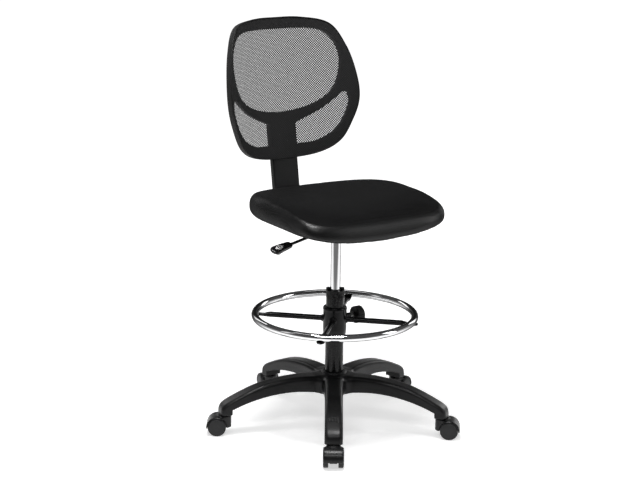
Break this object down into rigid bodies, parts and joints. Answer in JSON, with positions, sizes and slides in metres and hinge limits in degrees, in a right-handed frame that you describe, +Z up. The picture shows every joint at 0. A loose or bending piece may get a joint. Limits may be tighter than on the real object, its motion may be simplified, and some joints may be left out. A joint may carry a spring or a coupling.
{
  "type": "drafting chair",
  "caption": "Tall swivel chair with a mesh back, contoured fabric seat, gas lift, chromed foot ring and a star base on twin-wheel castors.",
  "frame": {"origin": "on the floor, on the axis of the column", "axes": "+Z up along the column, the sitter faces -Y, the height lever is on the -X side"},
  "size_m": [0.7044, 0.6807, 1.0993],
  "materials": {
    "base_nylon": "satin moulded nylon",
    "castor_nylon": "satin",
    "wheel_nylon": "matt nylon",
    "bright_steel": "zinc plated",
    "black_steel": "black powder coat",
    "chrome": "polished",
    "moulded_plastic": "fine texture",
    "gloss_handle": "gloss",
    "brass": "plain brass",
    "rubber": "matt",
    "plywood": "plain plywood",
    "seat_fabric": "black knit over foam",
    "back_fabric": "open black mesh"
  },
  "bodies": {
    "base": {"star_base": "base_nylon", "castor_stems": "bright_steel", "outer_tube": "black_steel", "guide_sleeve": "moulded_plastic", "retaining_washer": "bright_steel"},
    "spindle": {"piston_rod": "bright_steel", "gas_piston": "bright_steel", "rubber_bumper": "rubber", "bearing_washers": "bright_steel", "bearing_balls": "bright_steel", "retaining_clip": "black_steel"},
    "seat": {"gas_tube": "chrome", "gas_socket": "black_steel", "seat_plate": "black_steel", "lever_bush": "moulded_plastic", "seat_under_cover": "moulded_plastic", "seat_board": "plywood", "seat_cushion": "seat_fabric", "tee_nuts": "bright_steel", "plate_bolts": "black_steel", "back_bar_bolts": "black_steel", "back_bar": "black_steel", "back_bar_sleeve": "moulded_plastic", "back_frame": "moulded_plastic", "back_mesh": "back_fabric", "back_screws": "black_steel"},
    "valve": {"valve_pin": "bright_steel"},
    "lever": {"lever_rod": "black_steel", "lever_handle": "gloss_handle"},
    "ring_bushes": {"hub_bushes": "moulded_plastic"},
    "foot_ring": {"foot_ring": "chrome", "foot_ring_spokes": "black_steel", "foot_ring_hub": "black_steel", "spoke_screws": "black_steel"},
    "clamp_shoe": {"clamp_shoe": "brass"},
    "knob": {"clamp_knob": "moulded_plastic", "clamp_screw": "bright_steel"},
    "castor_1": {"castor_1_housing": "castor_nylon", "castor_1_axle": "bright_steel"},
    "castor_1_left": {"castor_1_wheel_left": "wheel_nylon"},
    "castor_1_right": {"castor_1_wheel_right": "wheel_nylon"},
    "castor_2": {"castor_2_housing": "castor_nylon", "castor_2_axle": "bright_steel"},
    "castor_2_left": {"castor_2_wheel_left": "wheel_nylon"},
    "castor_2_right": {"castor_2_wheel_right": "wheel_nylon"},
    "castor_3": {"castor_3_housing": "castor_nylon", "castor_3_axle": "bright_steel"},
    "castor_3_left": {"castor_3_wheel_left": "wheel_nylon"},
    "castor_3_right": {"castor_3_wheel_right": "wheel_nylon"},
    "castor_4": {"castor_4_housing": "castor_nylon", "castor_4_axle": "bright_steel"},
    "castor_4_left": {"castor_4_wheel_left": "wheel_nylon"},
    "castor_4_right": {"castor_4_wheel_right": "wheel_nylon"},
    "castor_5": {"castor_5_housing": "castor_nylon", "castor_5_axle": "bright_steel"},
    "castor_5_left": {"castor_5_wheel_left": "wheel_nylon"},
    "castor_5_right": {"castor_5_wheel_right": "wheel_nylon"}
  },
  "joints": [
    {"name": "seat_swivel", "type": "hinge", "parent": "base", "child": "spindle", "pos_m": [0, 0, 0.07], "axis": [0, 0, 1], "continuous": true},
    {"name": "gas_lift", "type": "slide", "parent": "spindle", "child": "seat", "axis": [0, 0, 1], "range_m": [-0.08, 0.12]},
    {"name": "lever_lift", "type": "hinge", "parent": "seat", "child": "lever", "pos_m": [-0.03687, -0.00919, 0.58], "axis": [-0.2419, 0.9703, 0], "range_deg": [0, 5], "stiffness_Nm_per_rad": 3, "springref_deg": -5.73},
    {"name": "valve_press", "type": "slide", "parent": "seat", "child": "valve", "axis": [0, 0, 1], "range_m": [-0.0035, 0]},
    {"name": "ring_height", "type": "slide", "parent": "base", "child": "ring_bushes", "axis": [0, 0, 1], "range_m": [-0.09, 0.04]},
    {"name": "ring_swivel", "type": "hinge", "parent": "ring_bushes", "child": "foot_ring", "pos_m": [0, 0, 0.305], "axis": [0, 0, 1], "continuous": true},
    {"name": "shoe_slide", "type": "slide", "parent": "foot_ring", "child": "clamp_shoe", "axis": [0.9998, 0.0175, 0], "range_m": [0, 0.00187]},
    {"name": "knob_turn", "type": "hinge", "parent": "clamp_shoe", "child": "knob", "pos_m": [0.06999, 0.00122, 0.305], "axis": [0.9998, 0.0175, 0], "range_deg": [0, 540]},
    {"name": "castor_1_swivel", "type": "hinge", "parent": "base", "child": "castor_1", "pos_m": [-0.17503, -0.25949, 0.05], "axis": [0, 0, 1], "continuous": true},
    {"name": "castor_1_left_roll", "type": "hinge", "parent": "castor_1", "child": "castor_1_left", "pos_m": [-0.18621, -0.27607, 0.025], "axis": [0.829, -0.5592, 0], "continuous": true},
    {"name": "castor_1_right_roll", "type": "hinge", "parent": "castor_1", "child": "castor_1_right", "pos_m": [-0.18621, -0.27607, 0.025], "axis": [0.829, -0.5592, 0], "continuous": true},
    {"name": "castor_2_swivel", "type": "hinge", "parent": "base", "child": "castor_2", "pos_m": [0.1927, -0.24665, 0.05], "axis": [0, 0, 1], "continuous": true},
    {"name": "castor_2_left_roll", "type": "hinge", "parent": "castor_2", "child": "castor_2_left", "pos_m": [0.20825, -0.25923, 0.025], "axis": [0.6293, 0.7771, 0], "continuous": true},
    {"name": "castor_2_right_roll", "type": "hinge", "parent": "castor_2", "child": "castor_2_right", "pos_m": [0.20825, -0.25923, 0.025], "axis": [0.6293, 0.7771, 0], "continuous": true},
    {"name": "castor_3_swivel", "type": "hinge", "parent": "base", "child": "castor_3", "pos_m": [0.29412, 0.10705, 0.05], "axis": [0, 0, 1], "continuous": true},
    {"name": "castor_3_left_roll", "type": "hinge", "parent": "castor_3", "child": "castor_3_left", "pos_m": [0.3126, 0.11471, 0.025], "axis": [-0.3827, 0.9239, 0], "continuous": true},
    {"name": "castor_3_right_roll", "type": "hinge", "parent": "castor_3", "child": "castor_3_right", "pos_m": [0.3126, 0.11471, 0.025], "axis": [-0.3827, 0.9239, 0], "continuous": true},
    {"name": "castor_4_swivel", "type": "hinge", "parent": "base", "child": "castor_4", "pos_m": [-0.01092, 0.31281, 0.05], "axis": [0, 0, 1], "continuous": true},
    {"name": "castor_4_left_roll", "type": "hinge", "parent": "castor_4", "child": "castor_4_left", "pos_m": [-0.00592, 0.33217, 0.025], "axis": [-0.9681, 0.2504, 0], "continuous": true},
    {"name": "castor_4_right_roll", "type": "hinge", "parent": "castor_4", "child": "castor_4_right", "pos_m": [-0.00592, 0.33217, 0.025], "axis": [-0.9681, 0.2504, 0], "continuous": true},
    {"name": "castor_5_swivel", "type": "hinge", "parent": "base", "child": "castor_5", "pos_m": [-0.30088, 0.08627, 0.05], "axis": [0, 0, 1], "continuous": true},
    {"name": "castor_5_left_roll", "type": "hinge", "parent": "castor_5", "child": "castor_5_left", "pos_m": [-0.31746, 0.09746, 0.025], "axis": [-0.5592, -0.829, 0], "continuous": true},
    {"name": "castor_5_right_roll", "type": "hinge", "parent": "castor_5", "child": "castor_5_right", "pos_m": [-0.31746, 0.09746, 0.025], "axis": [-0.5592, -0.829, 0], "continuous": true}
  ],
  "couplings": [
    {"joint": "valve_press", "follows": "lever_lift", "m_per_rad": -0.040107},
    {"joint": "shoe_slide", "follows": "knob_turn", "m_per_rad": 0.00019894}
  ]
}
